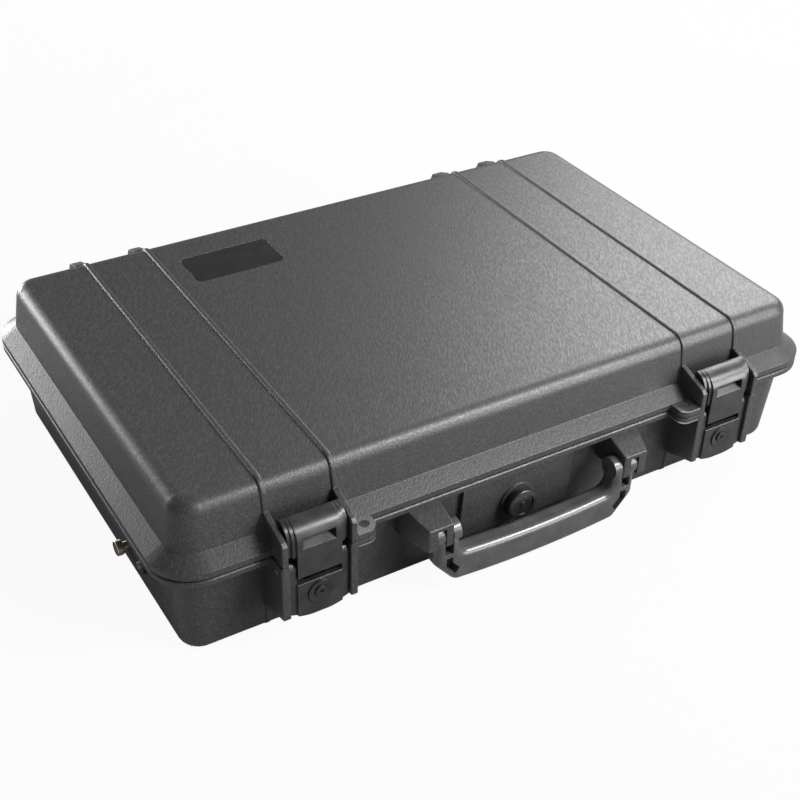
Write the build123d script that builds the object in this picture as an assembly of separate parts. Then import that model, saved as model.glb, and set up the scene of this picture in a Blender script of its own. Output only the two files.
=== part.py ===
"""Hard-shell laptop case with a hinged lid, two locking latches, a folding handle and a purge valve.

Units are millimetres. +X runs along the front, +Y points to the hinges and +Z points up.
The origin lies under the middle of the case, on the plane that it stands on.
"""
import os
from math import cos, radians, sin, tan

from build123d import *

# ---------------------------------------------------------------- shell
case_length = 505.0       # over the rim
rim_depth = 326.0         # over the rim, front to back
case_height = 118.0       # over the lid's ribs
rim_corner = 30.0
rim_overhang = 11.0       # how far the rim stands out from the walls
parting_z = 72.0
parting_gap = 0.8         # open line between lid and base
lid_rim_height = 5.0      # upright face of the lid's rim
lid_shelf_height = 7.0    # sloping shelf from the rim up to the lid wall
base_rim_height = 4.0
base_shelf_height = 8.0
lid_draft = 9.0           # degrees
base_draft = 4.4
wall = 4.5
lid_edge = 10.0           # round along the lid's top
base_edge = 9.0
rib_width = 3.8
rib_proud = 1.3
rib_round = 1.2           # along the ribs' edges
rim_edge = 0.8

# ---------------------------------------------------------------- seal
groove_inset = 7.0        # rim edge to the middle of the seal groove
groove_width = 5.0
groove_depth = 4.6
gasket_width = 4.2
gasket_height = 3.0
gasket_round = 1.2
tongue_width = 2.4
tongue_height = 1.7       # above the base's rim
seal_gap = 0.3            # rest gap under the gasket

# ---------------------------------------------------------------- latches
latch_inset = 93.3        # end of the rim to the middle of each latch
latch_bay = 41.0          # free width between the guard flanges
outer_flange = 5.5        # thickness of the base flange on the corner side
inner_flange = 5.0        # thickness of the base flange on the handle side
lid_flange = 4.0          # thickness of the lid's flanges
flange_round = 0.8        # along the flanges' edges
flange_reach = 13.0       # how far the flanges stand out past the rim
flange_rise = 25.5        # parting line up to where the lid flange leaves the wall
flange_shoulder = 18.0    # parting line up to the bend in the lid flange's edge
flange_bend = 2.5
flange_foot_fall = 9.0    # slope of the base flange's foot, front to wall
flange_foot_lift = 4.0    # lever's lowest point up to the front of that foot
side_gap = 0.5            # running gap beside the moving latch parts

lever_pivot_drop = 7.0    # parting line down to the lever pivot
lever_pivot_back = 7.5    # flange front back to the lever pivot
lever_boss = 5.0
lever_proud = 1.5         # faceplate in front of the arms
lever_pin_r = 2.0
lever_pin_proud = 0.4
lever_plate = 3.5
lever_edge = 0.6
lever_arm = 4.6
lever_smile = 4.0         # how much higher the lever's lower corners are
lever_back = 13.0         # depth of the lever's side walls
lever_taper = 9.0         # pivot down to where the side walls reach their full depth
lever_heel = 6.0          # slant at the lower back corner of the side walls
lever_window = 6.2        # hook pivot down to the faceplate's top edge
hook_drop = 5.0           # hook pivot below the lever pivot
hook_lead = 0.8           # hook pivot in front of the lever pivot
hook_barrel = 3.4
hook_pin_r = 1.5
hook_inset = 1.0          # flange front back to the hook's face
hook_thick = 9.5         # hook's face to its back
hook_cheek = 10.0         # lever pivot up to where the hook starts to cover the lever arms
hook_brow = 7.5           # catch rail's top up to the top of the hook
hook_face = 12.0          # top of the hook down to its upright face
nose_reach = 4.5          # how far the hook lies over the catch rail
nose_gap = 0.3
rail_rise = 17.5          # parting line up to the top of the catch rail
rail_thick = 4.0
rail_gap = 0.5            # between the rail and the back of the hook
band_step = 1.5           # each side band of the hook is set back this much
band_width = 2.6
band_count = 3
scoop_half = 11.0
scoop_depth = 5.0
scoop_low = 5.0           # bottom edge of the finger scoop above the hook's cheeks
scoop_high = 13.5
core_depth = 3.0          # hollow in the back of the hook
core_height = 10.0
run = 0.05                # radial clearance of a turning pin

# ---------------------------------------------------------------- locks
lock_drop = 16.4          # hook pivot down to the middle of the lock
lock_foot = 17.2          # middle of the lock down to the lever's lower edge
lock_head_r = 8.5
lock_head = 1.0
lock_dish = 0.7
lock_body_r = 6.0
lock_depth = 12.5         # lever's face to the back end of the lock body
plug_r = 4.0
plug_proud = 0.3
cam_reach = 9.5
cam_width = 4.5
cam_thick = 2.0
cam_overlap = 0.4         # how far the cam sits into the lock body
keeper_half = 6.0
keeper_gap = 0.5
keeper_lip = 1.8
keeper_plate = 3.0
lock_nut_r = 8.0
lock_nut_thick = 2.6
keyway_width = 1.1
keyway_length = 4.6
keyway_depth = 5.0

# ---------------------------------------------------------------- padlock lugs
lug_hole_reach = 5.7      # how far the hole stands out past the rim
lug_hole_inset = 7.9      # inner flange to the middle of the hole
lug_hole_r = 3.4
lug_round = 7.0
lid_lug_height = 4.2
base_lug_height = 3.4
lug_root = 4.0            # how far the lug runs into the rim
eyelet_wall = 1.2
eyelet_plate = 1.0
eyelet_gap = 0.2

# ---------------------------------------------------------------- handle
handle_reach = 9.7        # how far the handle's pivot stands out past the rim
handle_pin_r = 2.2
handle_pin_grip = 2.5     # how far each pin runs into its bracket
handle_pin_proud = 0.4
tine_x = (61.0, 67.0, 73.5, 79.0)    # inner tine and outer tine, from the middle plane
tongue_gap = 0.5
handle_half = 7.8         # half of the handle's thickness, and its round tops' radius
handle_drop = 40.0        # pivot down to the foot of the grip
handle_bow = 3.0
handle_grip = 23.5
handle_chamfer = 15.0
handle_cheek = 3.0        # how much taller than wide the lower corners are
handle_edge = 5.5
handle_bend = 7.0         # round of the outline's corners
crotch_drop = 14.0        # handle pivot down to the bottom of the fork
pocket_depth = 7.0
pocket_wall = 7.0         # handle's outer side to the pocket
pocket_width = 5.0
pocket_drop = 3.4         # fork's crotch down to the pocket's top
pocket_leg = 4.6          # the pocket's upright leg, on its inner side
pocket_run = (5.4, 6.1)   # the pocket's slanting leg: in and down
pocket_tip = (3.0, 4.2)   # its end
bracket_drop = 4.0        # parting line down to the top of the bracket
bracket_slope = 6.0       # height of the bracket's sloping top
bracket_pivot = 17.0      # bracket's top down to the handle pivot
bracket_foot = 6.5        # handle pivot down to the bracket's underside
bracket_cheek = 7.0       # bracket's side beyond the handle at its front
bracket_flare = 14.0      # the same at the wall
bracket_proud = 8.0       # handle pivot to the bracket's front
bracket_round = 1.0
slot_gap = 1.4            # behind the outer tine

# ---------------------------------------------------------------- purge valve
valve_z = 36.0
knob_r = 11.3
knob_height = 4.4
knob_round = 1.2
knob_rim = 3.0
knob_dish = 0.8
knob_button_r = 1.6
knob_gap = 0.3
knob_stem_r = 4.0
valve_panel_half = 44.0
valve_panel_low = 17.0
valve_panel_high = 60.0
valve_panel_proud = 3.0
valve_boss_r = 13.0
valve_boss_proud = 3.2    # how far the boss stands out from the wall's top
valve_boss_depth = 12.6   # boss's face to the nut's seat
valve_thread_r = 6.0
valve_flange_r = 9.5
valve_flange = 1.2
valve_seal = 0.8
valve_nut_thick = 4.0
valve_nut_r = 9.5
valve_tail = 2.0          # bush past its nut

# ---------------------------------------------------------------- hinges
hinge_reach = 4.0         # how far the hinge line stands out past the rim
hinge_barrel = 5.5
hinge_pin_r = 2.0
ear_width = 8.5
ear_gap = 0.4
ear_clear = 0.6           # round clearance cut for the other half's barrels
ear_drop = 8.7            # lid's top down to the top of its ears
ear_bevel = (3.0, 4.0, 14.0, 10.0)    # slanted corner of the lid's ears: y, z, y, z steps
base_ear_foot_z = 24.0

# ---------------------------------------------------------------- strap anchors
anchor_y = -72.0          # rear end of each anchor plate, where the stud stands
anchor_length = 22.0      # stud to screw
anchor_z = 37.0
anchor_r = 6.0
anchor_margin = 1.2       # boss around the plate
anchor_plate = 1.8
anchor_proud = 0.3        # boss past the wall's top
anchor_depth = 10.3       # boss's face to the nut's seat
stud_neck_r = 2.8
stud_head_r = 5.2
stud_head = 4.6
stud_neck = 3.0
stud_edge = 0.8
screw_head_r = 2.4
screw_head = 1.2
screw_shank_r = 1.5
screw_length = 7.5
stud_nut_r = 5.0
stud_nut_thick = 3.0
stud_tail = 1.0           # stud past its nut

# ---------------------------------------------------------------- label and foam
label_x = -87.0
label_y = 97.0
label_length = 68.0
label_width = 36.0
label_thick = 0.6
label_corner = 4.0
label_gap = 0.5
foam_gap = 1.0            # beside the foam
foam_rest = 0.1           # between the foam and the floor or roof that it sits on
base_foam_height = 14.0
lid_foam_height = 14.0

over = 1.0                # how far a cutter runs past a face, or a root into its neighbour

# ---------------------------------------------------------------- worked out
lid_bottom = parting_z + parting_gap / 2
base_top = parting_z - parting_gap / 2
lid_top = case_height - rib_proud
shelf_top = lid_bottom + lid_rim_height + lid_shelf_height
base_shelf = base_top - base_rim_height - base_shelf_height
tongue_top = base_top + tongue_height
wall_length = case_length - 2 * rim_overhang
wall_depth = rim_depth - 2 * rim_overhang
wall_corner = rim_corner - rim_overhang

latch_x = case_length / 2 - latch_inset
flange_inner = latch_x - latch_bay / 2           # handle-side face of the bay
flange_outer = latch_x + latch_bay / 2           # corner-side face of the bay
flange_near = flange_inner - inner_flange        # handle-side face of the inner flange
flange_far = flange_outer + outer_flange         # corner-side face of the outer flange
flange_front = rim_depth / 2 + flange_reach
rib_xs = (flange_inner - inner_flange / 2, flange_outer + outer_flange / 2)

lever_pivot_y = -(flange_front - lever_pivot_back)
lever_pivot_z = parting_z - lever_pivot_drop
hook_pivot_y = lever_pivot_y - hook_lead
hook_pivot_z = lever_pivot_z - hook_drop
lever_front = lever_boss - lever_pivot_y + lever_proud    # its face to the middle plane
lever_half = latch_bay / 2 - side_gap
hook_half = lever_half - lever_arm - side_gap    # the hook between the lever arms
hook_front = flange_front - hook_inset
hook_back = hook_front - hook_thick
hook_wide_z = lever_pivot_z + hook_cheek
rail_top_z = parting_z + rail_rise
rail_front = hook_back - rail_gap
hook_top_z = rail_top_z + hook_brow

lock_z = hook_pivot_z - lock_drop
lever_foot_z = lock_z - lock_foot
flange_foot_z = lever_foot_z + flange_foot_lift
lock_end = lever_front - lock_depth
cam_near = -lock_end + cam_overlap

lug_hole_x = flange_near - lug_hole_inset
lug_hole_y = -(rim_depth / 2 + lug_hole_reach)

bracket_top_z = parting_z - bracket_drop
handle_y = -(rim_depth / 2 + handle_reach)
handle_z = bracket_top_z - bracket_pivot
handle_foot_z = handle_z - handle_drop
handle_pin_end = tine_x[3] + tongue_gap + handle_pin_grip

valve_boss_front = wall_depth / 2 + valve_boss_proud
valve_inner_face = valve_boss_front - valve_boss_depth
valve_face = valve_boss_front + valve_seal + valve_flange
knob_back = -valve_face - knob_gap

hinge_y = rim_depth / 2 + hinge_reach
hinge_z = parting_z
lid_ear_top_z = lid_top - ear_drop

anchor_face = wall_length / 2 + anchor_proud
anchor_inner_face = anchor_face - anchor_depth
screw_y = anchor_y - anchor_length
screw_end = anchor_face + anchor_plate - screw_length


# ================================================================ helpers
def block(x, y, z):
    """A box from three (low, high) pairs."""
    box = Box(x[1] - x[0], y[1] - y[0], z[1] - z[0])
    return Pos((x[0] + x[1]) / 2, (y[0] + y[1]) / 2, (z[0] + z[1]) / 2) * box


def rod_x(y, z, radius, x):
    """A round bar along X between the two values in x."""
    return Pos((x[0] + x[1]) / 2, y, z) * Rot(0, 90, 0) * Cylinder(radius, x[1] - x[0])


def rod_y(x, z, radius, y):
    """A round bar along Y between the two values in y."""
    return Pos(x, (y[0] + y[1]) / 2, z) * Rot(90, 0, 0) * Cylinder(radius, y[1] - y[0])


def rod_z(x, y, radius, z):
    """A round bar along Z between the two values in z."""
    return Pos(x, y, (z[0] + z[1]) / 2) * Cylinder(radius, z[1] - z[0])


def hex_y(x, z, radius, y):
    """A hexagonal nut blank along Y; radius is to its flats."""
    blank = extrude(RegularPolygon(radius / cos(radians(30)), 6), y[1] - y[0])
    return Pos(x, y[1], z) * Rot(90, 0, 0) * blank


def side_plate(points, x):
    """A plate with an outline of (y, z) points, between the two values in x."""
    outline = Plane.YZ * Polygon(*points, align=None)
    return Pos(x[0], 0, 0) * extrude(outline, x[1] - x[0], dir=(1, 0, 0))


def span(side, near, far):
    """An X range on one side of the case, from distances to the middle plane."""
    return tuple(sorted((side * near, side * far)))


def ring(inset, width, z):
    """A band that follows the rim: inset is rim edge to mid-band."""
    outer = inset - width / 2
    inner = inset + width / 2
    face = (rounded(case_length - 2 * outer, rim_depth - 2 * outer, rim_corner - outer)
            - rounded(case_length - 2 * inner, rim_depth - 2 * inner, rim_corner - inner))
    return Pos(0, 0, z[0]) * extrude(face, z[1] - z[0])


def rounded(length, depth, corner):
    return RectangleRounded(length, depth, corner)


def tapered(sizes, z):
    """A block between two rounded rectangles, each (inset from the walls, height)."""
    faces = []
    for inset, level in zip(sizes, z):
        face = rounded(wall_length - 2 * inset, wall_depth - 2 * inset, wall_corner - inset)
        faces.append(Pos(0, 0, level) * face)
    return loft(faces, ruled=True)


def lid_wall_y(z):
    """Distance of the lid's front wall from the middle plane at a height."""
    return wall_depth / 2 - (z - shelf_top) * tan(radians(lid_draft))


def lid_form(inset, z, edge):
    """The drafted lid body, inset from its outer wall, with its top edge rounded."""
    sizes = [inset + (level - shelf_top) * tan(radians(lid_draft)) for level in z]
    body = tapered(sizes, z)
    return fillet(body.faces().sort_by(Axis.Z)[-1].edges(), edge)


def base_form(inset, z, edge):
    """The drafted base body, inset from its outer wall, with its bottom edge rounded."""
    sizes = [inset + (base_shelf - level) * tan(radians(base_draft)) for level in z]
    body = tapered(sizes, z)
    return fillet(body.faces().sort_by(Axis.Z)[0].edges(), edge)


def ribs(grown, side):
    """The two ribs on one side: slices of the shell's grown form with rounded edges."""
    pair = None
    for x in rib_xs:
        strip = block(span(side, x - rib_width / 2, x + rib_width / 2),
                      (-rim_depth, rim_depth), (-over, case_height + over))
        rib = grown & strip
        rib = fillet(rib.faces().filter_by(Axis.X).edges(), rib_round)
        pair = rib if pair is None else pair + rib
    return pair


def rounded_plate(points, x):
    """A side plate with its edges rounded."""
    plate = side_plate(points, x)
    return fillet(plate.faces().filter_by(Axis.X).edges(), flange_round)


# ================================================================ lid
def lid_shell():
    rim_top = lid_bottom + lid_rim_height
    body = Pos(0, 0, lid_bottom) * extrude(rounded(case_length, rim_depth, rim_corner), lid_rim_height)
    body = chamfer(body.faces().sort_by(Axis.Z)[0].edges(), rim_edge)
    body += tapered((-rim_overhang, 0), (rim_top, shelf_top))
    body += lid_form(0, (shelf_top, lid_top), lid_edge)
    grown = lid_form(-rib_proud, (shelf_top, case_height), lid_edge + rib_proud)
    for side in (-1, 1):
        body += ribs(grown, side)
        body += lid_flanges(side)
        body += lid_ears(side)
        body += lid_lug(side)
    body -= lid_form(wall, (lid_bottom - over, lid_top - wall), lid_edge - wall)
    body -= ring(groove_inset, groove_width, (lid_bottom - over, lid_bottom + groove_depth))
    body -= label_recess()
    for side in (-1, 1):
        for near, far in base_ear_spans():
            cut = span(side, near - ear_gap, far + ear_gap)
            body -= rod_x(hinge_y, hinge_z, hinge_barrel + ear_clear, cut)
        for near, far in lid_ear_spans():
            body -= rod_x(hinge_y, hinge_z, hinge_pin_r + run, span(side, near - over, far + over))
    return body


def lid_flanges(side):
    """Guard plates beside the latch and the catch rail between them."""
    root_y = -(wall_depth / 2 - wall)
    shoulder_z = parting_z + flange_shoulder
    top_z = parting_z + flange_rise
    outline = [(root_y, lid_bottom), (-flange_front, lid_bottom),
               (-flange_front, shoulder_z - flange_bend), (-flange_front + flange_bend, shoulder_z),
               (-lid_wall_y(top_z), top_z), (root_y, top_z)]
    flanges = block(span(side, rib_xs[0], rib_xs[1]), (-rail_front, -rail_front + rail_thick),
                    (lid_bottom + lid_rim_height - over, rail_top_z))
    for x in rib_xs:
        flanges += rounded_plate(outline, span(side, x - lid_flange / 2, x + lid_flange / 2))
    return flanges


def lid_lug(side):
    """The lid's padlock lug, with its eyelet hole."""
    lug = lug_outline(side, (lid_bottom, lid_bottom + lid_lug_height))
    hole = rod_z(side * lug_hole_x, lug_hole_y, lug_hole_r + eyelet_wall,
                 (lid_bottom - over, lid_bottom + lid_lug_height + over))
    return lug - hole


def lug_outline(side, z):
    """A tongue with a round end, reaching out of the rim beside the inner flange."""
    round_end = rod_z(side * lug_hole_x, lug_hole_y, lug_round, z)
    near = lug_hole_x - lug_round
    far = rib_xs[0]
    root = block(span(side, near, far), (lug_hole_y, -rim_depth / 2 + lug_root), z)
    filler = block(span(side, lug_hole_x, far), (lug_hole_y - lug_round, lug_hole_y), z)
    return round_end + root + filler


def lid_ear_spans():
    """X spans of the lid's hinge ears: one under each rib."""
    return ((rib_xs[0] - ear_width / 2, rib_xs[0] + ear_width / 2),
            (rib_xs[1] - ear_width / 2, rib_xs[1] + ear_width / 2))


def base_ear_spans():
    """X spans of the base's hinge ears: just inside the lid's."""
    near, far = lid_ear_spans()
    return ((near[1] + ear_gap, near[1] + ear_gap + ear_width),
            (far[0] - ear_gap - ear_width, far[0] - ear_gap))


def lid_ears(side):
    back = hinge_y + hinge_barrel
    root_y = wall_depth / 2 - wall
    out, down, inward, lower = ear_bevel
    outline = [(root_y, lid_bottom), (hinge_y - hinge_barrel - over, lid_bottom), (hinge_y, hinge_z),
               (back, hinge_z), (back, lid_ear_top_z - lower), (back - out, lid_ear_top_z - down),
               (back - inward, lid_ear_top_z), (root_y, lid_ear_top_z)]
    ears = None
    for near, far in lid_ear_spans():
        ear = side_plate(outline, span(side, near, far))
        ear += rod_x(hinge_y, hinge_z, hinge_barrel, span(side, near, far))
        ears = ear if ears is None else ears + ear
    return ears


def label_recess():
    face = rounded(label_length + 2 * label_gap, label_width + 2 * label_gap, label_corner + label_gap)
    return Pos(label_x, label_y, lid_top - label_thick) * extrude(face, label_thick + over)


def label_plate():
    plate = extrude(rounded(label_length, label_width, label_corner), label_thick)
    return Pos(label_x, label_y, lid_top - label_thick) * plate


def lid_gasket():
    low = tongue_top + seal_gap
    body = ring(groove_inset, gasket_width, (low, low + gasket_height))
    return fillet(body.edges().group_by(Axis.Z)[0], gasket_round)


def lid_foam():
    low = lid_top - wall - lid_foam_height
    return lid_form(wall + foam_gap, (low, lid_top - wall - foam_rest), lid_edge - wall)


def padlock_eyelet(side, plate_z, sleeve_z):
    """A steel eyelet: a cover plate on the lug's outer face and a sleeve through it."""
    eyelet = rod_z(side * lug_hole_x, lug_hole_y, lug_round, plate_z)
    near = lug_hole_x - lug_round
    far = flange_near - eyelet_gap
    eyelet += block(span(side, near, far), (lug_hole_y, -rim_depth / 2 - eyelet_gap), plate_z)
    eyelet += block(span(side, lug_hole_x, far), (lug_hole_y - lug_round, lug_hole_y), plate_z)
    eyelet -= block(span(side, 0, case_length), (-rim_depth / 2 - eyelet_gap, 0), plate_z)
    eyelet += rod_z(side * lug_hole_x, lug_hole_y, lug_hole_r + eyelet_wall, sleeve_z)
    low = min(plate_z[0], sleeve_z[0]) - over
    high = max(plate_z[1], sleeve_z[1]) + over
    return eyelet - rod_z(side * lug_hole_x, lug_hole_y, lug_hole_r, (low, high))


def lid_padlock_eyelet(side):
    top = lid_bottom + lid_lug_height
    return padlock_eyelet(side, (top, top + eyelet_plate), (lid_bottom, top))


def base_padlock_eyelet(side):
    low = base_top - base_lug_height
    return padlock_eyelet(side, (low - eyelet_plate, low), (low, base_top))


# ================================================================ base
def base_form_with_ribs():
    """The base as a solid block, with its rim and ribs."""
    rim_low = base_top - base_rim_height
    body = Pos(0, 0, rim_low) * extrude(rounded(case_length, rim_depth, rim_corner), base_rim_height)
    body = chamfer(body.faces().sort_by(Axis.Z)[-1].edges(), rim_edge)
    body += tapered((0, -rim_overhang), (base_shelf, rim_low))
    body += base_form(0, (0, base_shelf), base_edge)
    grown = base_form(-rib_proud, (0, base_shelf), base_edge + rib_proud)
    for side in (-1, 1):
        body += ribs(grown, side)
    return body


def base_shell(solid_base):
    body = solid_base + ring(groove_inset, tongue_width, (base_top - over, tongue_top))
    for side in (-1, 1):
        body += base_ears(side)
        body += anchor_boss(side)
    cavity = base_form(wall, (wall, base_top + over), base_edge - wall)
    body -= cavity - inner_bosses()
    body -= valve_bore()
    for side in (-1, 1):
        body += lock_keeper(side)
        body -= base_bores(side)
    return body


def inner_bosses():
    """Flat seats inside the walls for the valve nut and the strap stud nuts."""
    bosses = rod_y(0, valve_z, valve_boss_r, (-valve_boss_front, -valve_inner_face))
    for side in (-1, 1):
        bosses += anchor_boss(side)
    return bosses


def valve_bore():
    return rod_y(0, valve_z, valve_thread_r + run, (-rim_depth, -wall_depth / 4))


def valve_panel(solid_base):
    """The raised panel between the handle brackets, with the valve's boss on it."""
    grown = base_form(-valve_panel_proud, (0, base_shelf), base_edge)
    panel = grown & block((-valve_panel_half, valve_panel_half), (-rim_depth, 0),
                          (valve_panel_low, valve_panel_high))
    panel += rod_y(0, valve_z, valve_boss_r, (-valve_boss_front, -valve_inner_face))
    return panel - solid_base - valve_bore()


def base_flange(near, far, side):
    """A guard plate of the base beside the latch."""
    root_y = -(wall_depth / 2 - wall - over)
    outline = [(root_y, base_top), (-flange_front, base_top), (-flange_front, flange_foot_z),
               (root_y, flange_foot_z - flange_foot_fall)]
    return rounded_plate(outline, span(side, near, far))


def outer_guard(side, solid_base):
    return base_flange(flange_outer, flange_far, side) - solid_base - base_bores(side)


def inner_guard(side, solid_base):
    """The guard plate on the handle's side, with the padlock lug on it."""
    guard = base_flange(flange_near, flange_inner, side)
    guard += lug_outline(side, (base_top - base_lug_height, base_top))
    return guard - solid_base - base_bores(side)


def base_ears(side):
    back = hinge_y + hinge_barrel
    root_y = wall_depth / 2 - wall - over
    outline = [(root_y, base_top), (hinge_y - hinge_barrel - over, base_top), (hinge_y, hinge_z),
               (back, hinge_z), (back, base_ear_foot_z), (root_y, base_ear_foot_z - flange_foot_fall)]
    ears = None
    for near, far in base_ear_spans():
        ear = side_plate(outline, span(side, near, far))
        ear += rod_x(hinge_y, hinge_z, hinge_barrel, span(side, near, far))
        ears = ear if ears is None else ears + ear
    return ears


def handle_bracket(side, solid_base):
    """A bracket with a tongue that the handle forks around and a slot for its outer tine."""
    root_y = -(wall_depth / 2 - wall)
    front = handle_y - bracket_proud
    foot_z = handle_z - bracket_foot
    inner_x = tine_x[1] + tongue_gap
    wall_x = tine_x[3] + bracket_flare
    front_x = tine_x[3] + bracket_cheek
    plan = [(side * wall_x, root_y), (side * wall_x, -wall_depth / 2 - lug_root),
            (side * front_x, front), (side * inner_x, front), (side * inner_x, root_y)]
    body = extrude(Polygon(*plan, align=None), bracket_top_z - foot_z, dir=(0, 0, 1))
    body = Pos(0, 0, foot_z) * body
    body &= side_plate([(root_y, foot_z), (front, foot_z), (front, bracket_top_z - bracket_slope),
                        (-rim_depth / 2 + over, bracket_top_z), (root_y, bracket_top_z)],
                       (-case_length, case_length))
    body = fillet(body.edges(), bracket_round)
    slot = span(side, tine_x[2] - tongue_gap, tine_x[3] + tongue_gap)
    body -= block(slot, (front - over, handle_y + handle_half + slot_gap),
                  (foot_z - over, handle_z + handle_half + tongue_gap))
    return body - solid_base - base_bores(side)


def anchor_outline(side, radius, x):
    """An oblong along Y, from the strap stud to its screw."""
    reach = span(side, x[0], x[1])
    ends = rod_x(anchor_y, anchor_z, radius, reach) + rod_x(screw_y, anchor_z, radius, reach)
    return ends + block(reach, (screw_y, anchor_y), (anchor_z - radius, anchor_z + radius))


def anchor_boss(side):
    """The raised seat of the anchor plate, thick enough to seat the stud's nut inside."""
    return anchor_outline(side, anchor_r + anchor_margin, (anchor_inner_face, anchor_face))


def lock_keeper(side):
    """A shelf with a front lip on the base wall; the lock's cam turns up behind the lip."""
    x = (side * latch_x - keeper_half, side * latch_x + keeper_half)
    root_y = -(wall_depth / 2 - wall)
    shelf_z = lock_z + cam_reach + keeper_gap
    front = cam_near - keeper_lip - keeper_gap
    keeper = block(x, (front, root_y), (shelf_z, shelf_z + keeper_plate))
    lip_low = lock_z + lock_body_r + keeper_gap
    return keeper + block(x, (front, front + keeper_lip), (lip_low, shelf_z))


def base_bores(side):
    """Every round hole in the base on one side of the case."""
    holes = rod_x(lever_pivot_y, lever_pivot_z, lever_pin_r + run,
                  span(side, flange_near - over, flange_far + over))
    for near, far in base_ear_spans():
        holes += rod_x(hinge_y, hinge_z, hinge_pin_r + run, span(side, near - over, far + over))
    for near, far in lid_ear_spans():
        holes += rod_x(hinge_y, hinge_z, hinge_barrel + ear_clear,
                       span(side, near - ear_gap, far + ear_gap))
    holes += rod_x(handle_y, handle_z, handle_pin_r + run, span(side, tine_x[1], handle_pin_end))
    holes += rod_z(side * lug_hole_x, lug_hole_y, lug_hole_r + eyelet_wall,
                   (base_top - base_lug_height - over, base_top + over))
    holes += rod_x(anchor_y, anchor_z, stud_neck_r + run,
                   span(side, anchor_inner_face - over, anchor_face + over))
    holes += rod_x(screw_y, anchor_z, screw_shank_r + run,
                   span(side, screw_end - over, anchor_face + over))
    return holes


def base_foam():
    low = wall + foam_rest
    return base_form(wall + foam_gap, (low, low + base_foam_height), base_edge - wall)


# ================================================================ hinge and latch pins
def hinge_pin(side):
    near, far = lid_ear_spans()
    return rod_x(hinge_y, hinge_z, hinge_pin_r, span(side, near[0], far[1]))


def lever_pins(side):
    """Two stub pins: each holds one lever arm to the flange beside it."""
    reach = lever_half - lever_arm
    outer = rod_x(lever_pivot_y, lever_pivot_z, lever_pin_r,
                  span(side, latch_x + reach, flange_far + lever_pin_proud))
    inner = rod_x(lever_pivot_y, lever_pivot_z, lever_pin_r, span(side, flange_near, latch_x - reach))
    return Compound([outer, inner])


# ================================================================ latch, drawn about its own middle
def latch_lever():
    """The lower lever: a faceplate between two arms, open at the back."""
    front = -lever_front
    arm_front = front + lever_proud
    back = front + lever_back
    inside = lever_half - lever_arm
    plate_top = hook_pivot_z - lever_window
    body = side_plate([(arm_front, lever_foot_z), (arm_front, lever_pivot_z),
                       (lever_pivot_y + lever_boss, lever_pivot_z),
                       (back, lever_pivot_z - lever_taper), (back, lever_foot_z + lever_heel),
                       (back - lever_heel, lever_foot_z)], (-lever_half, lever_half))
    body += rod_x(lever_pivot_y, lever_pivot_z, lever_boss, (-lever_half, lever_half))
    body -= block((-inside, inside), (front, 0), (plate_top, case_height))
    body -= block((-inside, inside), (front + lever_plate, 0), (lever_foot_z + lever_heel, case_height))
    plate = block((-inside, inside), (front, arm_front + over), (lever_foot_z, plate_top))
    plate = fillet(plate.faces().sort_by(Axis.Y)[0].edges(), lever_edge)
    body += plate
    smile_r = (lever_half ** 2 + lever_smile ** 2) / (2 * lever_smile)
    body &= rod_y(0, lever_foot_z + smile_r, smile_r, (-case_length, 0))
    across = (-lever_half - over, lever_half + over)
    body -= rod_x(lever_pivot_y, lever_pivot_z, lever_pin_r + run, across)
    body -= rod_x(hook_pivot_y, hook_pivot_z, hook_pin_r + run, across)
    return body - rod_y(0, lock_z, lock_body_r + run, (front - over, front + lever_plate + over))


def hook_outline(step, low):
    """The hook's side view above the lever; step sets its face back under a shared crest."""
    front = -hook_front + step
    nose = -hook_back + nose_reach
    under = rail_top_z + nose_gap
    upright_z = hook_top_z - hook_face
    bend = (nose + (front - nose) * sin(radians(45)), upright_z + hook_face * sin(radians(45)))
    with BuildSketch(Plane.YZ) as outline:
        with BuildLine():
            Polyline((-hook_back, low), (-hook_back, under), (nose, under), (nose, hook_top_z))
            ThreePointArc((nose, hook_top_z), bend, (front, upright_z))
            Polyline((front, upright_z), (front, low), (-hook_back, low))
        make_face()
    return outline.sketch


def latch_hook():
    """The upper hook: a stepped cover whose nose lies over the lid's catch rail."""
    body = None
    for count in range(band_count):
        half = lever_half - band_width * count
        step = band_step * (band_count - 1 - count)
        band = Pos(-half, 0, 0) * extrude(hook_outline(step, hook_wide_z), 2 * half, dir=(1, 0, 0))
        body = band if body is None else body + band
    body += side_plate([(-hook_back, hook_wide_z + over), (-hook_front, hook_wide_z + over),
                        (-hook_front, hook_pivot_z - over),
                        (hook_pivot_y, hook_pivot_z - hook_barrel),
                        (hook_pivot_y + hook_barrel, hook_pivot_z)], (-hook_half, hook_half))
    body += rod_x(hook_pivot_y, hook_pivot_z, hook_barrel, (-hook_half, hook_half))
    high = hook_wide_z + scoop_high
    low = hook_wide_z + scoop_low
    deep = -hook_front + scoop_depth
    body -= side_plate([(-hook_front - over, high), (deep, high - lock_dish), (deep, (low + high) / 2),
                        (-hook_front - over, low)], (-scoop_half, scoop_half))
    body -= block((-scoop_half, scoop_half), (-hook_back - core_depth, -hook_back + over),
                  (low, low + core_height))
    return body - rod_x(hook_pivot_y, hook_pivot_z, hook_pin_r + run,
                        (-hook_half - over, hook_half + over))


def hook_pin():
    return rod_x(hook_pivot_y, hook_pivot_z, hook_pin_r, (-lever_half, lever_half))


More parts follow.
